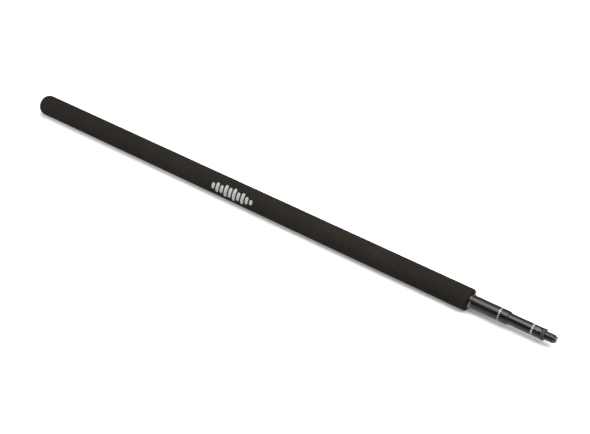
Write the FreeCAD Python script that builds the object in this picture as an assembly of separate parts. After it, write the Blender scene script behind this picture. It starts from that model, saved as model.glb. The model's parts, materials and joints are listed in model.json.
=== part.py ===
"""Three-section telescopic microphone boom pole, collapsed.

The pole lies along X on its foam grip: +X points from the closed butt of the grip to the threaded tip, +Z is up,
and the origin is under the middle of the pole's length, on the surface that the grip rests on.
All sizes are millimetres. Stations called u are measured along the pole from the butt.
"""
import FreeCAD
import Part
import math
import os

V = FreeCAD.Vector

# ---- overall -------------------------------------------------------------------------------------------------
TOTAL_L = 700.0            # butt of the grip to the nose of the thread, collapsed
GRIP_R = 12.5              # outside radius of the foam grip
GRIP_FRONT = 603.6         # front face of the foam
GRIP_EDGE_R = 1.9          # rounding of the foam's front edge
DOME_H = 9.5               # height of the closed, domed butt
DOME_CROWN_R = 15.5
DOME_CORNER_R = 8.0

# ---- tubes ---------------------------------------------------------------------------------------------------
OUTER_R, OUTER_BORE = 8.5, 7.8         # section 1, inside the foam
MIDDLE_R, MIDDLE_BORE = 7.3, 6.6       # section 2
TIP_R, TIP_BORE = 6.1, 5.4             # section 3
OUTER_REAR, OUTER_FRONT = 8.0, 604.0
MIDDLE_REAR, MIDDLE_FRONT = 52.0, 640.0
TIP_REAR, TIP_FRONT = 98.0, 675.6
PRESS = 0.01                           # radial room of a pressed or glued joint
GUIDE = 0.06                           # radial room of a sliding guide

# ---- front bush and collars ----------------------------------------------------------------------------------
BUSH_REAR, BUSH_LIP = 544.0, 606.6     # section 1's guide bush
COLLAR2_REAR, COLLAR2_FRONT = 588.0, 648.0
COLLAR3_REAR, COLLAR3_FRONT = 652.0, 684.2

# ---- twist locks: u stations from the stop at the rear of the screw to the face of the guide flange ----------
# screw radius, stop u0,u1, wedge u0,u1, sleeve u0,u1, flange u0,u1, plug's front end, bore radius, tube's bore radius
LOCK2 = dict(screw_r=3.0, stop=(21.6, 24.2), wedge=(26.0, 38.6), sleeve=(30.0, 46.0), flange=(47.0, 52.0), plug=66.0,
             bore=OUTER_BORE, tube_bore=MIDDLE_BORE, flange_r=7.55, ring=(48.4, 50.6), screw_end=60.0, stop_r=4.4,
             cone=(5.9, 3.9), pin_u=59.5, pin_r=0.8, tube_r=MIDDLE_R)
LOCK3 = dict(screw_r=2.5, stop=(71.4, 73.8), wedge=(75.6, 86.6), sleeve=(79.0, 93.0), flange=(94.0, 98.0), plug=111.0,
             bore=MIDDLE_BORE, tube_bore=TIP_BORE, flange_r=6.4, ring=(95.2, 96.8), screw_end=105.5, stop_r=3.8,
             cone=(4.5, 3.1), pin_u=104.5, pin_r=0.7, tube_r=TIP_R)
SCREW_PITCH = 2.0                      # the wedge travels this far in a full twist
SLEEVE_GAP = 0.05                      # sleeve to bore, locked
CONE_GAP = 0.05
SLOT_W, KEY_W = 1.7, 1.3

# ---- threaded tip: 3/8 in - 16 ---------------------------------------------------------------------------------
THREAD_R = 9.525 / 2
THREAD_PITCH = 25.4 / 16
THREAD_ROOT_R = 8.2 / 2
FLANGE_R = 6.3
FLANGE_REAR, FLANGE_FRONT = 684.2, 688.0
THREAD_U0, THREAD_U1 = 688.4, 697.9
NOSE_R, NOSE_U = 3.6, 698.4
SHANK_R, SHANK_REAR = 3.0, 658.0

os.makedirs("parts", exist_ok=True)


def lathe(points):
    """Solid turned about the pole's axis from (u, r) corners. A corner may be ("arc", (um, rm), (u, r))."""
    edges, first, last = [], None, None
    for p in points + [points[0]]:
        arc = p[0] == "arc"
        end = V(p[2][0], 0, p[2][1]) if arc else V(p[0], 0, p[1])
        if last is not None and (end - last).Length > 1e-7:
            if arc:
                edges.append(Part.Arc(last, V(p[1][0], 0, p[1][1]), end).toShape())
            else:
                edges.append(Part.LineSegment(last, end).toShape())
        last = end
    face = Part.Face(Part.Wire(edges))
    s = face.revolve(V(0, 0, 0), V(1, 0, 0), 360)
    if s.Volume < 0:
        s.reverse()
    return s


def ring(u0, u1, r_in, r_out, c=0.0):
    """Plain ring, its outer edges broken by c."""
    if c:
        return lathe([(u0, r_in), (u0, r_out - c), (u0 + c, r_out), (u1 - c, r_out), (u1, r_out - c), (u1, r_in)])
    return lathe([(u0, r_in), (u0, r_out), (u1, r_out), (u1, r_in)])


def box(u0, u1, y0, y1, z0, z1):
    return Part.makeBox(u1 - u0, y1 - y0, z1 - z0, V(u0, y0, z0))


def spin(s, deg):
    s = s.copy()
    s.rotate(V(0, 0, 0), V(1, 0, 0), deg)
    return s


def keep(name, shape):
    solids = shape.Solids
    s = solids[0] if len(solids) == 1 else Part.makeCompound(solids)
    s = s.copy()
    s.translate(V(-TOTAL_L / 2, 0, GRIP_R))
    ok = all(x.isValid() and x.isClosed() and x.Volume > 0 for x in s.Solids)
    print(f"{name:24s} solids {len(s.Solids)}  volume {s.Volume:10.2f}  {'ok' if ok else 'BAD'}")
    s.exportStep(f"parts/{name}.step")
    return s


# ---- grip ----------------------------------------------------------------------------------------------------
# one moulded foam sleeve with a closed, domed butt; the dome is a crown arc and a corner arc, tangent to each other
k = (DOME_CROWN_R - DOME_H, GRIP_R - DOME_CORNER_R)
n = math.hypot(*k)
tu, tr = DOME_CROWN_R - DOME_CROWN_R * k[0] / n, DOME_CROWN_R * k[1] / n
a_t = math.atan2(tr, DOME_CROWN_R - tu)
crown_mid = (DOME_CROWN_R - DOME_CROWN_R * math.cos(a_t / 2), DOME_CROWN_R * math.sin(a_t / 2))
a_c = (a_t + math.pi / 2) / 2
corner_mid = (DOME_H - DOME_CORNER_R * math.cos(a_c), GRIP_R - DOME_CORNER_R + DOME_CORNER_R * math.sin(a_c))
e = GRIP_EDGE_R
q = e * (1 - math.sqrt(0.5))
foam = lathe([
    (0, 0), ("arc", crown_mid, (tu, tr)), ("arc", corner_mid, (DOME_H, GRIP_R)),
    (GRIP_FRONT - e, GRIP_R), ("arc", (GRIP_FRONT - q, GRIP_R - q), (GRIP_FRONT, GRIP_R - e)),
    (GRIP_FRONT, OUTER_R), (6.0, OUTER_R), (6.0, 0),
])
keep("foam_grip", foam)
keep("outer_tube", ring(OUTER_REAR, OUTER_FRONT, OUTER_BORE, OUTER_R))
keep("butt_plug", lathe([
    (6.0, 0), (6.0, OUTER_R), (OUTER_REAR, OUTER_R), (OUTER_REAR, OUTER_BORE - PRESS), (17.4, OUTER_BORE - PRESS),
    (18.0, OUTER_BORE - 0.6), (18.0, 5.6), (11.0, 5.6), (11.0, 0),
]))
keep("butt_bumper", lathe([(11.0, 0), (11.0, 5.55), (19.2, 5.55), (20.0, 4.75), (20.0, 0)]))
bush_bore = MIDDLE_R + GUIDE
keep("grip_front_bush", lathe([
    (BUSH_REAR, bush_bore + 0.15), (BUSH_REAR, OUTER_BORE - PRESS), (OUTER_FRONT, OUTER_BORE - PRESS), (OUTER_FRONT, OUTER_R),
    (BUSH_LIP - 0.5, OUTER_R), (BUSH_LIP, OUTER_R - 0.6), (BUSH_LIP, bush_bore + 0.25), (BUSH_LIP - 0.25, bush_bore),
    (BUSH_REAR + 0.3, bush_bore),
]))


# ---- twist locks ---------------------------------------------------------------------------------------------
def lock(k, sec):
    """The parts at the rear of a sliding section: plug, screw, stop, glide ring, cross pin, and the sleeve and wedge."""
    f0, f1 = k["flange"]
    g0, g1 = k["ring"]
    fr, sr = k["flange_r"], k["screw_r"]
    tb = k["tube_bore"] - PRESS
    groove = fr - 0.9
    plug = lathe([
        (f0, sr), (f0, fr - 0.4), (f0 + 0.4, fr), (g0, fr), (g0, groove), (g1, groove), (g1, fr), (f1, fr),
        (f1, tb), (k["plug"] - 0.5, tb), (k["plug"], tb - 0.5), (k["plug"], 0), (k["screw_end"], 0), (k["screw_end"], sr),
    ])
    hole = Part.makeCylinder(k["pin_r"], 2 * k["tube_r"] + 2, V(k["pin_u"], 0, -k["tube_r"] - 1), V(0, 0, 1))
    plug = plug.cut(hole)
    screw = lathe([(k["stop"][0] - 0.6, 0), (k["stop"][0] - 0.6, sr - 0.4), (k["stop"][0] - 0.2, sr), (k["screw_end"], sr), (k["screw_end"], 0)])
    screw = screw.cut(hole)
    stop = ring(k["stop"][0], k["stop"][1], sr, k["stop_r"], 0.3)
    # split glide ring that takes the side load of the section, one joint in it
    glide = ring(g0 + 0.02, g1 - 0.02, groove + 0.01, k["bore"] - 0.06, 0.2).cut(box(g0 - 1, g1 + 1, -0.4, 0.4, 0, k["bore"] + 1))
    pin_l = k["tube_r"] - 0.15
    pin = Part.makeCylinder(k["pin_r"], 2 * pin_l, V(k["pin_u"], 0, -pin_l), V(0, 0, 1))
    # expander sleeve: one piece, its rear split into four fingers around a cone
    s0, s1 = k["sleeve"]
    big, small = k["cone"]
    web = s1 - 3.6
    so = k["bore"] - SLEEVE_GAP
    sleeve = lathe([
        (s0, big), (s0, so - 0.35), (s0 + 0.35, so), (s1 - 0.35, so), (s1, so - 0.35), (s1, sr + 0.25), (web, sr + 0.25), (web, small),
    ])
    for deg in (0, 90):
        sleeve = sleeve.cut(spin(box(s0 - 1, web - 0.6, -SLOT_W / 2, SLOT_W / 2, -so - 1, so + 1), deg))
    # wedge nut: its cone has the sleeve's taper, and two keys ride in the sleeve's slots so that it can't turn
    w0, w1 = k["wedge"]
    slope = (big - small) / (web - s0)
    cone_r = lambda u: big - slope * (u - s0) - CONE_GAP
    head_r = min(big - CONE_GAP + 0.6, so - 1.0)
    wedge = lathe([
        (w0, sr + 0.05), (w0, head_r - 0.5), (w0 + 0.5, head_r), (s0 - 1.5, head_r), (s0 - 1.5, cone_r(s0)), (s0, cone_r(s0)), (w1, cone_r(w1)), (w1, sr + 0.05),
    ])
    key_top = so - 0.9
    keys = box(w0 + 1.2, w1 - 2.5, -KEY_W / 2, KEY_W / 2, sr + 0.4, key_top)
    keys = keys.fuse(box(w0 + 1.2, w1 - 2.5, -KEY_W / 2, KEY_W / 2, -key_top, -sr - 0.4))
    wedge = wedge.fuse(keys).removeSplitter()
    keep(f"{sec}_rear_plug", plug)
    keep(f"{sec}_lock_screw", screw)
    keep(f"{sec}_screw_stop", stop)
    keep(f"{sec}_glide_ring", glide)
    keep(f"{sec}_plug_pin", pin)
    keep(f"{sec}_lock_sleeve", sleeve)
    keep(f"{sec}_lock_wedge", wedge)
    return hole


hole2 = lock(LOCK2, "middle")
hole3 = lock(LOCK3, "tip")

# ---- middle section --------------------------------------------------------------------------------------------
keep("middle_tube", ring(MIDDLE_REAR, MIDDLE_FRONT, MIDDLE_BORE, MIDDLE_R).cut(hole2))
c_bore = TIP_R + GUIDE
keep("middle_front_collar", lathe([
    (COLLAR2_REAR, c_bore + 0.15), (COLLAR2_REAR, MIDDLE_BORE - PRESS), (MIDDLE_FRONT, MIDDLE_BORE - PRESS), (MIDDLE_FRONT, MIDDLE_R - 0.2),
    (MIDDLE_FRONT + 0.2, MIDDLE_R), (COLLAR2_FRONT - 1.5, MIDDLE_R), (COLLAR2_FRONT - 1.35, MIDDLE_R - 0.18), (COLLAR2_FRONT - 1.2, MIDDLE_R),
    (COLLAR2_FRONT - 0.5, MIDDLE_R), (COLLAR2_FRONT, MIDDLE_R - 0.5), (COLLAR2_FRONT, c_bore + 0.25), (COLLAR2_FRONT - 0.25, c_bore),
    (COLLAR2_REAR + 0.3, c_bore),
]))
keep("middle_bumper", lathe([(66.0, 0), (66.0, 4.3), (68.7, 4.3), (69.0, 4.0), (69.0, 0)]))

# ---- tip section -----------------------------------------------------------------------------------------------
keep("tip_tube", ring(TIP_REAR, TIP_FRONT, TIP_BORE, TIP_R).cut(hole3))
keep("tip_front_collar", lathe([
    (COLLAR3_REAR, SHANK_R), (COLLAR3_REAR, TIP_BORE - PRESS - 0.4), (COLLAR3_REAR + 0.4, TIP_BORE - PRESS), (TIP_FRONT, TIP_BORE - PRESS), (TIP_FRONT, TIP_R - 0.2),
    (TIP_FRONT + 0.2, TIP_R), (COLLAR3_FRONT - 0.3, TIP_R), (COLLAR3_FRONT, TIP_R - 0.3), (COLLAR3_FRONT, SHANK_R),
]))

# threaded spigot: rear shank screwed into the collar, knurled flange, thread with a pilot nose
pts = [(SHANK_REAR, 0), (SHANK_REAR, SHANK_R - 0.5), (SHANK_REAR + 0.5, SHANK_R), (FLANGE_REAR, SHANK_R), (FLANGE_REAR, FLANGE_R - 0.35),
       (FLANGE_REAR + 0.35, FLANGE_R), (FLANGE_FRONT - 0.6, FLANGE_R), (FLANGE_FRONT, FLANGE_R - 0.6), (FLANGE_FRONT, THREAD_ROOT_R), (THREAD_U0, THREAD_ROOT_R)]
flank = THREAD_PITCH * 0.25
crest = THREAD_PITCH * 0.34
root = THREAD_PITCH - 2 * flank - crest
u = THREAD_U0
while u + 2 * flank + crest < THREAD_U1:
    pts += [(u, THREAD_ROOT_R), (u + flank, THREAD_R), (u + flank + crest, THREAD_R), (u + 2 * flank + crest, THREAD_ROOT_R)]
    u += THREAD_PITCH
THREAD_END = u - root
pts += [(THREAD_END, THREAD_ROOT_R), (NOSE_U - 0.5, THREAD_ROOT_R), (NOSE_U, NOSE_R), (TOTAL_L - 0.6, NOSE_R), (TOTAL_L, NOSE_R - 0.6), (TOTAL_L, 0)]
clean = []
for p in pts:
    if not clean or math.hypot(p[0] - clean[-1][0], p[1] - clean[-1][1]) > 1e-6:
        clean.append(p)
keep("thread_spigot", lathe(clean))
print("thread crest from", THREAD_U0 + flank, "to", THREAD_END - flank)
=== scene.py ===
import bpy
import json
import math
from mathutils import Vector, Matrix, noise


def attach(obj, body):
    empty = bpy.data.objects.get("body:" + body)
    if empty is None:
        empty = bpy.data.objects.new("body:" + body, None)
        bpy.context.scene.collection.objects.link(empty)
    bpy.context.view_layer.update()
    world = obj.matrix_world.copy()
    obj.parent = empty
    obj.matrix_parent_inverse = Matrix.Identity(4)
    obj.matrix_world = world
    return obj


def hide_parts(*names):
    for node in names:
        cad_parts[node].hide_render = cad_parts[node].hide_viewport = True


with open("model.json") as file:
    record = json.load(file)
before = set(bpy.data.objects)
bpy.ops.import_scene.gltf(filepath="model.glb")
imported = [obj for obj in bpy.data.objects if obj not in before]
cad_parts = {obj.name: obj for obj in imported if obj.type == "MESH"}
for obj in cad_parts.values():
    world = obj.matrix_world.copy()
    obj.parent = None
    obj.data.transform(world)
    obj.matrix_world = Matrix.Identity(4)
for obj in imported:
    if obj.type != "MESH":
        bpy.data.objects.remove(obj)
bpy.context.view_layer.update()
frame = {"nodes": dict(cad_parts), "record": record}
noise.seed_set(7)

AXIS_Z = 0.0125
HALF = 0.350


# ------------------------------------------------------------------------------------------------ mesh helpers
def put(name, verts, faces, mats, face_mat=None, sharp=None, smooth=True):
    """An object from lists, in metres. face_mat gives each face's slot, sharp is a set of vertex-index pairs."""
    me = bpy.data.meshes.new(name)
    me.from_pydata(verts, [], faces)
    for m in mats:
        me.materials.append(m)
    me.update()
    me.validate()
    me.polygons.foreach_set("use_smooth", [smooth] * len(me.polygons))
    if face_mat is not None:
        me.polygons.foreach_set("material_index", face_mat)
    if sharp:
        flags = [False] * len(me.edges)
        for i, e in enumerate(me.edges):
            a, b = e.vertices
            if (a, b) in sharp or (b, a) in sharp:
                flags[i] = True
        at = me.attributes.new("sharp_edge", "BOOLEAN", "EDGE")
        at.data.foreach_set("value", flags)
    ob = bpy.data.objects.new(name, me)
    bpy.context.scene.collection.objects.link(ob)
    return ob


def at(u, r, a):
    """Row-frame point at station u and radius r in mm; a is the angle up from -Y, seen looking along +X."""
    return ((u / 1000.0) - HALF, -r / 1000.0 * math.cos(a), AXIS_Z + r / 1000.0 * math.sin(a))


def turned(name, prof, mats, seg=128, push=None, slots=None, corner=28.0, closed=True):
    """A turned piece. prof is a list of (u, r) in mm round the section; a point on the axis becomes a pole.
    push(u, r, a) gives a radial offset in mm. slots gives each profile span's material."""
    verts, faces, fm, rows = [], [], [], []
    n = len(prof)
    for u, r in prof:
        if r < 1e-6:
            rows.append([len(verts)])
            verts.append(at(u, 0, 0))
        else:
            row = []
            for k in range(seg):
                a = 2 * math.pi * k / seg
                row.append(len(verts))
                verts.append(at(u, r + (push(u, r, a) if push else 0.0), a))
            rows.append(row)
    sharp = set()
    spans = n if closed else n - 1
    for i in range(spans):
        j = (i + 1) % n
        A, B = rows[i], rows[j]
        if len(A) == 1 and len(B) == 1:
            continue
        s = slots[i] if slots else 0
        for k in range(seg):
            m = (k + 1) % seg
            if len(A) == 1:
                faces.append((A[0], B[m], B[k]))
            elif len(B) == 1:
                faces.append((A[k], A[m], B[0]))
            else:
                faces.append((A[k], A[m], B[m], B[k]))
            fm.append(s)
    for i in range(n):
        if len(rows[i]) == 1:
            continue
        p, q, s = prof[i - 1], prof[i], prof[(i + 1) % n]
        a1 = math.atan2(q[1] - p[1], q[0] - p[0])
        a2 = math.atan2(s[1] - q[1], s[0] - q[0])
        d = abs((a2 - a1 + math.pi) % (2 * math.pi) - math.pi)
        if math.degrees(d) > corner:
            for k in range(seg):
                sharp.add((rows[i][k], rows[i][(k + 1) % seg]))
    return put(name, verts, faces, mats, fm, sharp)


def arc(cu, cr, rad, a0, a1, n):
    """Points on a section arc, angles in degrees from +u towards +r."""
    return [(cu + rad * math.cos(math.radians(a0 + (a1 - a0) * i / n)), cr + rad * math.sin(math.radians(a0 + (a1 - a0) * i / n))) for i in range(n + 1)]


def run(u0, u1, r0, r1, step):
    """Stations from u0 to u1, u1 left out."""
    n = max(1, int(round(abs(u1 - u0) / step)))
    return [(u0 + (u1 - u0) * i / n, r0 + (r1 - r0) * i / n) for i in range(n)]


def patch(name, outline, radius, mat, lift=0.03, sink=0.12, step=0.45):
    """Printed ink on a round surface. outline is a convex closed list of (u mm, arc mm from angle zero); fan-filled in strips."""
    us = [p[0] for p in outline]
    lo, hi = min(us), max(us)
    n = max(2, int(math.ceil((hi - lo) / step)))
    cols = []
    for i in range(n + 1):
        u = lo + (hi - lo) * (i / n)
        u = min(max(u, lo + 1e-4), hi - 1e-4)
        ys = []
        m = len(outline)
        for k in range(m):
            p, q = outline[k], outline[(k + 1) % m]
            if (p[0] - u) * (q[0] - u) <= 0 and abs(p[0] - q[0]) > 1e-9:
                ys.append(p[1] + (q[1] - p[1]) * (u - p[0]) / (q[0] - p[0]))
        cols.append((u, min(ys), max(ys)))
    rowsn = max(2, int(math.ceil(max(c[2] - c[1] for c in cols) / step)))
    verts, faces = [], []
    for layer in (radius + lift, radius - sink):
        for u, y0, y1 in cols:
            for k in range(rowsn + 1):
                verts.append(at(u, layer, (y0 + (y1 - y0) * k / rowsn) / radius))
    W = rowsn + 1
    N = (n + 1) * W
    for i in range(n):
        for k in range(rowsn):
            a, b, c, d = i * W + k, (i + 1) * W + k, (i + 1) * W + k + 1, i * W + k + 1
            faces.append((a, b, c, d))
            faces.append((N + a, N + d, N + c, N + b))
    for i in range(n):
        a, b = i * W, (i + 1) * W
        faces.append((a, N + a, N + b, b))
        a, b = i * W + rowsn, (i + 1) * W + rowsn
        faces.append((a, b, N + b, N + a))
    for k in range(rowsn):
        faces.append((k, k + 1, N + k + 1, N + k))
        a = n * W + k
        faces.append((a, N + a, N + a + 1, a + 1))
    return verts, faces


def join(name, parts, mat):
    verts, faces = [], []
    for v, f in parts:
        b = len(verts)
        verts += v
        faces += [tuple(i + b for i in q) for q in f]
    ob = put(name, verts, faces, [mat], smooth=False)
    return ob


def pill(u, y, w, h, n=10):
    """Rounded bar: width w along the pole, height h round it."""
    r = w / 2
    out = []
    for i in range(n + 1):
        a = math.pi * i / n
        out.append((u + r * math.cos(a), y + h / 2 - r + r * math.sin(a)))
    for i in range(n + 1):
        a = math.pi + math.pi * i / n
        out.append((u + r * math.cos(a), y - h / 2 + r + r * math.sin(a)))
    return out


# ------------------------------------------------------------------------------------------------ materials
def new_mat(name):
    m = bpy.data.materials.new(name)
    m.use_nodes = True
    nt = m.node_tree
    nt.nodes.clear()
    out = nt.nodes.new("ShaderNodeOutputMaterial")
    b = nt.nodes.new("ShaderNodeBsdfPrincipled")
    nt.links.new(b.outputs[0], out.inputs[0])
    return m, nt, b


def node(nt, kind, **kw):
    n = nt.nodes.new(kind)
    for k, v in kw.items():
        if k in ("scale", "detail", "rough_", "distort"):
            continue
        setattr(n, k, v)
    return n


def coords(nt, scale=(1, 1, 1)):
    t = nt.nodes.new("ShaderNodeTexCoord")
    mp = nt.nodes.new("ShaderNodeMapping")
    mp.inputs["Scale"].default_value = scale
    nt.links.new(t.outputs["Object"], mp.inputs["Vector"])
    return mp.outputs[0]


def nz(nt, vec, scale, detail=3.0, rough=0.55, dist=0.0):
    n = nt.nodes.new("ShaderNodeTexNoise")
    n.inputs["Scale"].default_value = scale
    n.inputs["Detail"].default_value = detail
    n.inputs["Roughness"].default_value = rough
    n.inputs["Distortion"].default_value = dist
    nt.links.new(vec, n.inputs["Vector"])
    return n.outputs["Fac"]


def ramp(nt, fac, stops):
    r = nt.nodes.new("ShaderNodeValToRGB")
    e = r.color_ramp.elements
    while len(e) > len(stops):
        e.remove(e[-1])
    while len(e) < len(stops):
        e.new(1.0)
    for el, (p, c) in zip(e, stops):
        el.position = p
        el.color = (c[0], c[1], c[2], 1) if not isinstance(c, float) else (c, c, c, 1)
    nt.links.new(fac, r.inputs[0])
    return r.outputs[0]


def mathn(nt, op, a, b=None, c=None, clamp=False):
    n = nt.nodes.new("ShaderNodeMath")
    n.operation = op
    n.use_clamp = clamp
    for i, x in enumerate((a, b, c)):
        if x is None:
            continue
        if isinstance(x, (int, float)):
            n.inputs[i].default_value = x
        else:
            nt.links.new(x, n.inputs[i])
    return n.outputs[0]


def mixc(nt, fac, a, b):
    n = nt.nodes.new("ShaderNodeMix")
    n.data_type = "RGBA"
    for i, x in ((0, fac), (6, a), (7, b)):
        if isinstance(x, float):
            n.inputs[i].default_value = x
        elif isinstance(x, tuple):
            n.inputs[i].default_value = (x[0], x[1], x[2], 1)
        else:
            nt.links.new(x, n.inputs[i])
    return n.outputs[2]


def bump(nt, height, dist, strength=1.0, normal=None):
    b = nt.nodes.new("ShaderNodeBump")
    b.inputs["Strength"].default_value = strength
    b.inputs["Distance"].default_value = dist
    nt.links.new(height, b.inputs["Height"])
    if normal is not None:
        nt.links.new(normal, b.inputs["Normal"])
    return b.outputs[0]


def foam_material():
    m, nt, b = new_mat("foam_skin")
    v = coords(nt)
    # small closed cells, with larger lumps under them; painted shade darkens the cell hollows and lightens their rims
    vor = nt.nodes.new("ShaderNodeTexVoronoi")
    vor.feature = "F1"
    vor.inputs["Scale"].default_value = 1500.0
    vor.inputs["Randomness"].default_value = 1.0
    nt.links.new(v, vor.inputs["Vector"])
    cell = vor.outputs["Distance"]
    fine = nz(nt, v, 2600.0, 2.0, 0.6)
    lump = nz(nt, v, 240.0, 4.0, 0.6)
    broad = nz(nt, v, 22.0, 3.0, 0.5)
    tone = mathn(nt, "ADD", mathn(nt, "MULTIPLY", lump, 0.55), mathn(nt, "MULTIPLY", broad, 0.45))
    base = ramp(nt, tone, [(0.30, (0.008, 0.007, 0.0057)), (0.55, (0.0109, 0.0095, 0.0078)), (0.75, (0.0142, 0.0126, 0.0105))])
    # painted shade: the base colour is multiplied darker in the cell hollows and lighter on the raised cell rims
    painted_hollow_shade = ramp(nt, cell, [(0.0, (0.52, 0.52, 0.52)), (0.22, (0.86, 0.86, 0.86)), (0.5, (1.02, 1.02, 1.02)), (1.0, (1.14, 1.14, 1.14))])
    mul = nt.nodes.new("ShaderNodeMix")
    mul.data_type = "RGBA"
    mul.blend_type = "MULTIPLY"
    mul.inputs[0].default_value = 1.0
    nt.links.new(base, mul.inputs[6])
    nt.links.new(painted_hollow_shade, mul.inputs[7])
    nt.links.new(mul.outputs[2], b.inputs["Base Color"])
    rough = ramp(nt, lump, [(0.3, 0.84), (0.7, 0.96)])
    nt.links.new(rough, b.inputs["Roughness"])
    b.inputs["Specular IOR Level"].default_value = 0.03
    b.inputs["Sheen Weight"].default_value = 0.004
    b.inputs["Sheen Roughness"].default_value = 0.6
    b.inputs["Sheen Tint"].default_value = (0.9, 0.87, 0.84, 1)
    h1 = bump(nt, lump, 0.00025, 0.35)
    h2 = bump(nt, cell, 0.00030, 0.85, h1)
    h3 = bump(nt, fine, 0.00008, 0.5, h2)
    nt.links.new(h3, b.inputs["Normal"])
    return m


def anodised(name, base=0.007, rough=0.34, metal=0.0, tint=(1.0, 0.96, 0.93), grain=1.0, lines=0.0, spec=0.5):
    """Black anodised aluminium: drawn along the pole (grain) or turned (lines), with faint handling marks."""
    m, nt, b = new_mat(name)
    drawn = coords(nt, (10.0, 900.0, 900.0))
    turnedv = coords(nt, (2600.0, 14.0, 14.0))
    plain = coords(nt)
    g = nz(nt, drawn, 1.6, 4.0, 0.6)
    t = nz(nt, turnedv, 1.0, 3.0, 0.6)
    cloud = nz(nt, plain, 60.0, 3.0, 0.5)
    speck = nz(nt, plain, 2400.0, 2.0, 0.7)
    lo = tuple(base * 0.82 * c for c in tint)
    hi = tuple(base * 1.22 * c for c in tint)
    nt.links.new(ramp(nt, cloud, [(0.3, lo), (0.7, hi)]), b.inputs["Base Color"])
    b.inputs["Metallic"].default_value = metal
    rr = mathn(nt, "ADD", mathn(nt, "MULTIPLY", cloud, 0.10), mathn(nt, "MULTIPLY", speck, 0.10))
    rr = mathn(nt, "ADD", rr, rough - 0.10, clamp=True)
    nt.links.new(rr, b.inputs["Roughness"])
    b.inputs["Specular IOR Level"].default_value = spec
    b.inputs["Specular Tint"].default_value = (1.0, 0.95, 0.93, 1)
    n1 = bump(nt, g, 0.00001, 0.22 * grain)
    n2 = bump(nt, t, 0.00001, 0.30 * lines, n1) if lines else n1
    n3 = bump(nt, speck, 0.000006, 0.25, n2)
    nt.links.new(n3, b.inputs["Normal"])
    return m


def plain_metal(name, colour, rough, lines=1.0):
    m, nt, b = new_mat(name)
    tv = coords(nt, (3000.0, 20.0, 20.0))
    pv = coords(nt)
    t = nz(nt, tv, 1.0, 3.0, 0.6)
    c = nz(nt, pv, 120.0, 3.0, 0.6)
    lo = tuple(x * 0.86 for x in colour)
    nt.links.new(ramp(nt, c, [(0.3, lo), (0.72, colour)]), b.inputs["Base Color"])
    b.inputs["Metallic"].default_value = 1.0
    nt.links.new(mathn(nt, "ADD", mathn(nt, "MULTIPLY", t, 0.16), rough - 0.08, clamp=True), b.inputs["Roughness"])
    nt.links.new(bump(nt, t, 0.00002, 0.35 * lines), b.inputs["Normal"])
    return m


def plastic(name, colour, rough=0.5, sheen=0.0, bumpy=0.00002):
    m, nt, b = new_mat(name)
    v = coords(nt)
    c = nz(nt, v, 300.0, 3.0, 0.6)
    f = nz(nt, v, 3200.0, 2.0, 0.6)
    lo = tuple(x * 0.85 for x in colour)
    nt.links.new(ramp(nt, c, [(0.3, lo), (0.7, colour)]), b.inputs["Base Color"])
    nt.links.new(mathn(nt, "ADD", mathn(nt, "MULTIPLY", f, 0.16), rough - 0.08, clamp=True), b.inputs["Roughness"])
    b.inputs["Sheen Weight"].default_value = sheen
    nt.links.new(bump(nt, f, bumpy, 0.5), b.inputs["Normal"])
    return m


def ink(name, colour, worn=0.25, rough=0.55):
    """Screen-printed ink: slightly uneven, a little thin where handled."""
    m, nt, b = new_mat(name)
    v = coords(nt)
    c = nz(nt, v, 900.0, 4.0, 0.65)
    f = nz(nt, v, 5200.0, 2.0, 0.6)
    lo = tuple(x * (1.0 - worn) for x in colour)
    nt.links.new(ramp(nt, c, [(0.28, lo), (0.62, colour)]), b.inputs["Base Color"])
    nt.links.new(mathn(nt, "ADD", mathn(nt, "MULTIPLY", f, 0.2), rough - 0.1, clamp=True), b.inputs["Roughness"])
    nt.links.new(bump(nt, f, 0.00002, 0.5), b.inputs["Normal"])
    return m


FOAM = foam_material()
TUBE_A = anodised("anodised_tube_middle", base=0.002, rough=0.31, spec=0.30)
TUBE_B = anodised("anodised_tube_tip", base=0.002, rough=0.28, spec=0.32)
COLLAR = anodised("anodised_collar", base=0.002, rough=0.29, grain=0.3, lines=0.3, spec=0.31)
KNURL = anodised("anodised_knurl", base=0.007, rough=0.44, grain=0.0, lines=0.4, spec=0.34)
THREAD = anodised("anodised_thread", base=0.003, rough=0.22, grain=0.0, lines=0.3, spec=0.5)
BARE = plain_metal("bare_bevel", (0.17, 0.163, 0.157), 0.2)
ALU = plain_metal("turned_aluminium", (0.60, 0.60, 0.61), 0.34)
STEEL = plain_metal("turned_steel", (0.50, 0.50, 0.51), 0.30)
BRASS = plain_metal("turned_brass", (0.66, 0.49, 0.22), 0.30)
ACETAL_BLACK = plastic("black_acetal", (0.018, 0.018, 0.018), 0.42)
ACETAL_WHITE = plastic("white_acetal", (0.72, 0.71, 0.66), 0.45)
RUBBER = plastic("soft_rubber", (0.022, 0.022, 0.022), 0.8, 0.1, 0.00005)
MARK_INK = ink("grip_mark_ink", (0.215, 0.215, 0.212), 0.26, 0.6)
RING_INK = ink("ring_ink", (0.18, 0.178, 0.175), 0.2, 0.5)
RING_INK_TIP = ink("ring_ink_tip", (0.25, 0.247, 0.242), 0.2, 0.5)
GLYPH_INK = ink("glyph_ink", (0.062, 0.060, 0.059), 0.35, 0.5)

by_slot = {
    "foam": FOAM, "anodised_tube": TUBE_A, "collar_metal": COLLAR, "thread_metal": THREAD, "plug_metal": ALU, "steel": STEEL,
    "brass": BRASS, "black_plastic": ACETAL_BLACK, "white_plastic": ACETAL_WHITE, "rubber_pad": RUBBER,
}
for s in frame["record"]["subparts"]:
    ob = frame["nodes"][s["node"]]
    mat = by_slot[s["material_slot"]]
    if not ob.material_slots:
        ob.data.materials.append(mat)
    for ms in ob.material_slots:
        ms.material = mat


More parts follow.
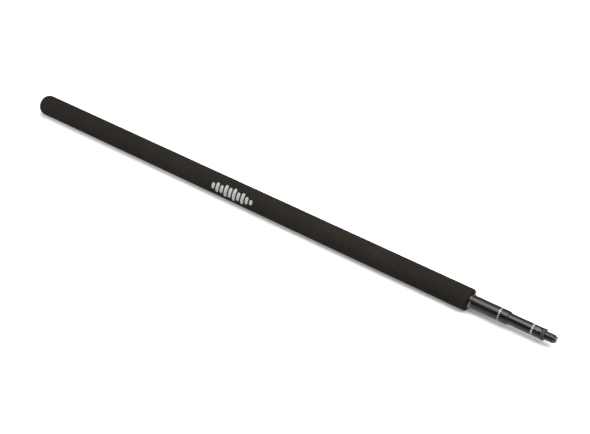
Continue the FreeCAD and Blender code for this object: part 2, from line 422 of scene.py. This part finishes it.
# ------------------------------------------------------------------------------------------------ foam grip
def foam_push(u, r, a):
    if r < 9.0:
        return 0.0
    p = Vector((u / 16.0, math.cos(a) * 1.5, math.sin(a) * 1.5))
    q = Vector((u / 3.2, math.cos(a) * 5.0, math.sin(a) * 5.0))
    edge = min(1.0, (r - 9.0) / 3.0)
    return edge * (-0.10 + 0.07 * noise.noise(p) + 0.035 * noise.noise(q))


R = 12.5
H, CR, CC = 9.5, 15.5, 8.0
kx, ky = CR - H, R - CC
kn = math.hypot(kx, ky)
tu, tr = CR - CR * kx / kn, CR * ky / kn
at_ = math.atan2(tr, CR - tu)
prof = [(0.0, 0.0)]
for i in range(1, 15):
    a = at_ * i / 15
    prof.append((CR - CR * math.cos(a), CR * math.sin(a)))
for i in range(0, 22):
    a = at_ + (math.pi / 2 - at_) * i / 22
    prof.append((H - CC * math.cos(a), R - CC + CC * math.sin(a)))
F, E = 603.6, 1.9
prof += run(H, F - E, R, R, 1.1)
prof += arc(F - E, R - E, E, 90, 0, 12)
prof += [(F, 9.6), (F, 8.9), (F - 0.12, 8.62), (F - 0.4, 8.5)]
prof += [(6.0, 8.5), (6.0, 0.0)]
foam = turned("foam_grip_skin", prof, [FOAM], seg=144, push=foam_push, corner=50)
# the front face was cut a little askew: longer at the upper rear, shorter at the lower front
for v in foam.data.vertices:
    w = min(1.0, max(0.0, (v.co.x + HALF - 0.594) / 0.0096))
    up = (v.co.y * 0.736 + (v.co.z - 0.0125) * 0.677) / 0.0125
    v.co.x += w * w * 0.00078 * up
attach(foam, "grip_section")
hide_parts("foam_grip")

# ------------------------------------------------------------------------------------------------ printed mark on the grip
# a plain row of upright bars of different heights
MARK_A = math.radians(27.5)
heights = [7.4, 11.6, 9.4, 14.6, 12.4, 15.2, 10.4, 13.6, 8.8, 6.2]
parts = []
for i, h in enumerate(heights):
    u = 305.0 + (i - (len(heights) - 1) / 2) * 5.9
    parts.append(patch("m", pill(u, MARK_A * R, 4.0, h), R, MARK_INK, lift=0.015, sink=0.25, step=0.5))
mark = join("grip_bar_mark", parts, MARK_INK)
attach(mark, "grip_section")

# ------------------------------------------------------------------------------------------------ front bush
bush = turned("grip_front_bush_turned", [
    (544.0, 7.51), (544.0, 7.79), (604.0, 7.79), (604.0, 8.5), (605.7, 8.5), (605.82, 8.47), (605.92, 8.4), (606.5, 7.8), (606.58, 7.68), (606.6, 7.61), (606.52, 7.44), (606.35, 7.36), (544.3, 7.36),
], [COLLAR, BARE], slots=[0, 0, 0, 0, 0, 0, 1, 0, 0, 0, 0, 0, 0], corner=24)
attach(bush, "grip_section")
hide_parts("grip_front_bush")


# ------------------------------------------------------------------------------------------------ tubes and collars
def tube(name, rear, front, bore, rad, mat, body, node_name):
    p = [(rear, bore), (rear, rad - 0.15), (rear + 0.15, rad)] + run(rear + 0.15, front - 0.12, rad, rad, 8.0)[1:]
    p += [(front - 0.12, rad), (front, rad - 0.12), (front, bore)]
    o = turned(name, p, [mat], seg=128, corner=30)
    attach(o, body)
    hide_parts(node_name)
    return o


tube("middle_tube_drawn", 52.0, 640.0, 6.6, 7.3, TUBE_A, "middle_section", "middle_tube")
tube("tip_tube_drawn", 98.0, 675.6, 5.4, 6.1, TUBE_B, "tip_section", "tip_tube")

c2 = turned("middle_front_collar_turned", [
    (588.0, 6.31), (588.0, 6.59), (640.0, 6.59), (640.0, 7.12), (640.08, 7.24), (640.2, 7.3), (640.35, 7.3), (643.0, 7.3), (646.25, 7.3), (646.4, 7.3), (646.5, 7.25), (646.58, 7.13), (646.72, 7.13), (646.8, 7.25), (646.9, 7.3), (647.0, 7.3), (647.35, 7.3), (647.45, 7.3), (647.72, 7.2), (647.92, 7.0), (648.0, 6.76), (648.0, 6.45), (647.95, 6.25), (647.75, 6.16), (588.3, 6.16),
], [COLLAR], corner=30)
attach(c2, "middle_section")
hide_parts("middle_front_collar")

c3 = turned("tip_front_collar_turned", [
    (652.0, 3.0), (652.0, 4.99), (652.4, 5.39), (675.6, 5.39), (675.6, 5.93), (675.68, 6.05), (675.8, 6.1), (675.95, 6.1), (680.0, 6.1), (683.7, 6.1), (683.85, 6.1), (684.02, 6.06), (684.15, 5.95), (684.2, 5.8), (684.2, 3.0),
], [COLLAR], corner=30)
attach(c3, "tip_section")
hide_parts("tip_front_collar")


# ------------------------------------------------------------------------------------------------ printed marks
def ring_marks(name, body, rad, u0, u1, count, fill, slant, mat, start=0.0, skip=()):
    per = 2 * math.pi * rad
    pitch = per / count
    out = []
    for k in range(count):
        if k in skip:
            continue
        y = (k + 0.5) * pitch + start
        w = pitch * fill / 2
        out.append(patch("r", [(u0, y - w - slant), (u0, y + w - slant), (u1, y + w + slant), (u1, y - w + slant)], rad, mat, lift=0.02, sink=0.05, step=0.5))
    o = join(name, out, mat)
    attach(o, body)
    return o


def tri(u0, u1, y, w):
    return [(u0, y), (u1, y - w), (u1, y + w)] if u0 < u1 else [(u0, y), (u1, y + w), (u1, y - w)]


ring_marks("middle_tube_ring_marks", "middle_section", 7.3, 637.2, 638.9, 18, 0.56, 0.3, RING_INK)
ring_marks("tip_tube_ring_marks", "tip_section", 6.1, 673.5, 675.3, 16, 0.66, 0.2, RING_INK_TIP)

# a small arrow head beside the first ring, and a small double-headed arrow on the tip collar: turn either way
ra = math.radians(72) * 7.3
head = join("middle_tube_arrow_mark", [patch("h", [(636.7, ra - 0.9), (638.0, ra - 1.35), (639.3, ra - 0.9), (639.3, ra + 0.9), (638.0, ra + 1.35), (636.7, ra + 0.9)], 7.3, RING_INK, 0.03, 0.05, 0.4)], RING_INK)
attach(head, "middle_section")
ga = math.radians(70) * 6.1
gl = []
gl.append(patch("g", [(679.2, ga - 1.3), (679.9, ga - 1.3), (679.9, ga + 1.3), (679.2, ga + 1.3)], 6.1, GLYPH_INK, 0.02, 0.05, 0.4))
for s in (-1, 1):
    tip = ga + s * 2.5
    base = ga + s * 1.2
    gl.append(patch("g", [(678.3, base), (679.55, tip), (680.8, base)] if s > 0 else [(678.3, base), (680.8, base), (679.55, tip)], 6.1, GLYPH_INK, 0.02, 0.05, 0.3))
gl.append(patch("g", [(677.0, ga - 1.8), (677.6, ga - 1.8), (677.6, ga + 1.8), (677.0, ga + 1.8)], 6.1, GLYPH_INK, 0.02, 0.05, 0.4))
gl.append(patch("g", [(681.5, ga - 1.8), (682.1, ga - 1.8), (682.1, ga + 1.8), (681.5, ga + 1.8)], 6.1, GLYPH_INK, 0.02, 0.05, 0.4))
glyph = join("tip_collar_arrow_mark", gl, GLYPH_INK)
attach(glyph, "tip_section")

# ------------------------------------------------------------------------------------------------ threaded spigot
P = 25.4 / 16
CREST, ROOT = 4.7625, 4.1
T0, T1 = 688.4, 697.3


def tri_wave(x):
    x = x - math.floor(x)
    return 1 - abs(2 * x - 1)


def spigot():
    """One surface from the rear shank to the nose: knurled flange, relief, helical thread, chamfer and pilot."""
    seg = 192
    rings = []
    fr, f0, f1 = 6.3, 684.2, 688.0
    kn = 44
    depth = 0.28

    def knurl(u, a):
        lead = 1.0 / (2 * math.pi * fr / kn)
        x1 = kn * a / (2 * math.pi) + (u - f0) * lead * 0.9
        x2 = kn * a / (2 * math.pi) - (u - f0) * lead * 0.9
        h = min(1.0, 1.5 * tri_wave(x1)) * min(1.0, 1.5 * tri_wave(x2))
        return fr - depth * (1 - h)

    def thread(u, a):
        ph = (u - T0) / P - a / (2 * math.pi)
        f = ph - math.floor(ph)
        flank, crest = 0.25, 0.34
        if f < flank:
            h = f / flank
        elif f < flank + crest:
            h = 1.0
        elif f < 2 * flank + crest:
            h = 1 - (f - flank - crest) / flank
        else:
            h = 0.0
        fade = min(1.0, max(0.0, (u - T0) / 0.7)) * min(1.0, max(0.0, (T1 + 0.6 - u) / 0.7))
        return ROOT + (CREST - ROOT) * h * fade

    rings.append((658.0, 2.5, None))
    rings.append((658.5, 3.0, None))
    rings.append((f0, 3.0, None))
    rings.append((f0, fr - 0.75, None))
    rings.append((f0 + 0.02, fr - 0.45, None))
    n = 40
    for i in range(n + 1):
        u = f0 + 0.35 + (f1 - 0.6 - f0 - 0.35) * i / n
        rings.append((u, None, knurl))
    rings.append((f1 - 0.25, fr - 0.38, None))
    rings.append((f1, fr - 0.85, None))
    rings.append((f1, ROOT + 0.25, None))
    rings.append((f1 + 0.08, ROOT + 0.06, None))
    rings.append((f1 + 0.25, ROOT, None))
    n = 150
    for i in range(n + 1):
        u = T0 + (T1 + 0.6 - T0) * i / n
        rings.append((u, None, thread))
    rings += [(698.0, ROOT - 0.06, None), (698.3, 3.7, None), (698.42, 3.62, None), (698.55, 3.6, None), (699.3, 3.6, None), (699.5, 3.57, None), (699.72, 3.42, None), (699.9, 3.2, None), (700.0, 2.9, None), (700.0, 1.2, None)]
    verts, faces = [], []
    idx = []
    for u, r, fn in rings:
        row = []
        for k in range(seg):
            a = 2 * math.pi * k / seg
            row.append(len(verts))
            verts.append(at(u, fn(u, a) if fn else r, a))
        idx.append(row)
    for A, B in zip(idx, idx[1:]):
        for k in range(seg):
            m = (k + 1) % seg
            faces.append((A[k], A[m], B[m], B[k]))
    c0, c1 = len(verts), len(verts) + 1
    verts += [at(658.0, 0, 0), at(700.0, 0, 0)]
    for k in range(seg):
        m = (k + 1) % seg
        faces.append((c0, idx[0][m], idx[0][k]))
        faces.append((idx[-1][k], idx[-1][m], c1))
    fm = []
    lo, hi = f0 / 1000 - HALF - 1e-6, f1 / 1000 - HALF + 1e-6
    for f in faces:
        x = sum(verts[i][0] for i in f) / len(f)
        fm.append(1 if lo <= x <= hi else 0)
    ob = put("thread_spigot_cut", verts, faces, [THREAD, KNURL], fm)
    return ob


sp = spigot()
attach(sp, "tip_section")
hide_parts("thread_spigot")


# ------------------------------------------------------------------------------------------------ stage, light and camera
def floor_material():
    m, nt, b = new_mat("floor_paper")
    b.inputs["Base Color"].default_value = (0.56, 0.56, 0.56, 1)
    b.inputs["Roughness"].default_value = 0.6
    b.inputs["Specular IOR Level"].default_value = 0.25
    b.inputs["Emission Color"].default_value = (1.0, 1.0, 1.0, 1)
    # the paper glows a little by itself, more so away from the lamps, so that it stays evenly pale
    ln = nt.nodes.new("ShaderNodeVectorMath")
    ln.operation = "LENGTH"
    nt.links.new(coords(nt, (0.25, 0.25, 0.25)), ln.inputs[0])
    nt.links.new(ramp(nt, ln.outputs["Value"], [(0.19, 0.19), (0.32, 0.29), (0.60, 0.50), (1.0, 0.56)]), b.inputs["Emission Strength"])
    return m


# a round sheet of paper that curves up into a low wall far away
fl_prof = [(0.0, 0.0), (0.8, 0.0), (2.0, 0.0), (5.0, 0.0), (10.8, 0.0)] + [(10.8 + 1.2 * math.sin(math.radians(t)), 1.2 - 1.2 * math.cos(math.radians(t))) for t in range(10, 91, 10)] + [(12.0, 1.7)]
fl_v, fl_f, fl_n = [(0.0, 0.0, 0.0)], [], 96
for rr, zz in fl_prof[1:]:
    fl_v += [(rr * math.cos(2 * math.pi * k / fl_n), rr * math.sin(2 * math.pi * k / fl_n), zz) for k in range(fl_n)]
for k in range(fl_n):
    fl_f.append((0, 1 + k, 1 + (k + 1) % fl_n))
for q in range(len(fl_prof) - 2):
    for k in range(fl_n):
        a0, a1 = 1 + q * fl_n, 1 + (q + 1) * fl_n
        fl_f.append((a0 + k, a1 + k, a1 + (k + 1) % fl_n, a0 + (k + 1) % fl_n))
floor = put("floor", fl_v, fl_f, [floor_material()], smooth=True)

world = bpy.data.worlds.new("studio")
bpy.context.scene.world = world
world.use_nodes = True
bg = world.node_tree.nodes["Background"]
bg.inputs[0].default_value = (1.0, 1.0, 1.0, 1)
bg.inputs[1].default_value = 0.035
bpy.context.scene.view_settings.view_transform = "Standard"


def area(name, loc, target, size, power):
    d = bpy.data.lights.new(name, "AREA")
    d.shape = "RECTANGLE"
    d.size, d.size_y = size
    d.energy = power
    o = bpy.data.objects.new(name, d)
    bpy.context.scene.collection.objects.link(o)
    o.location = loc
    # long side along the pole
    zl = (Vector(loc) - Vector(target)).normalized()
    xl = (Vector((1.0, 0.0, 0.0)) - zl * zl.x).normalized()
    yl = zl.cross(xl)
    o.rotation_mode = "QUATERNION"
    o.rotation_quaternion = Matrix((xl, yl, zl)).transposed().to_quaternion()
    return o


area("softbox_top", (0.45, -0.05, 1.15), (0.3, 0, 0), (1.7, 1.0), 50.0)
area("softbox_back", (0.3, 0.9, 1.2), (0.2, 0, 0), (2.2, 1.0), 8.0)
area("softbox_left", (-1.05, -0.8, 0.55), (-0.35, 0, 0), (0.6, 0.6), 14.0)
area("softbox_right", (1.9, 0.35, 0.8), (0.2, 0, 0), (1.1, 1.0), 4.5)

cam_d = bpy.data.cameras.new("camera")
cam = bpy.data.objects.new("camera", cam_d)
bpy.context.scene.collection.objects.link(cam)
cam.location = (0.585023, -0.782658, 0.849132)
cam.rotation_euler = (math.radians(90 - 41.050), 0.0, math.radians(35.128))
cam_d.sensor_width = 36.0
cam_d.lens = 1150.0 * 36.0 / 590.0
cam_d.clip_start, cam_d.clip_end = 0.01, 100.0
bpy.context.scene.camera = cam
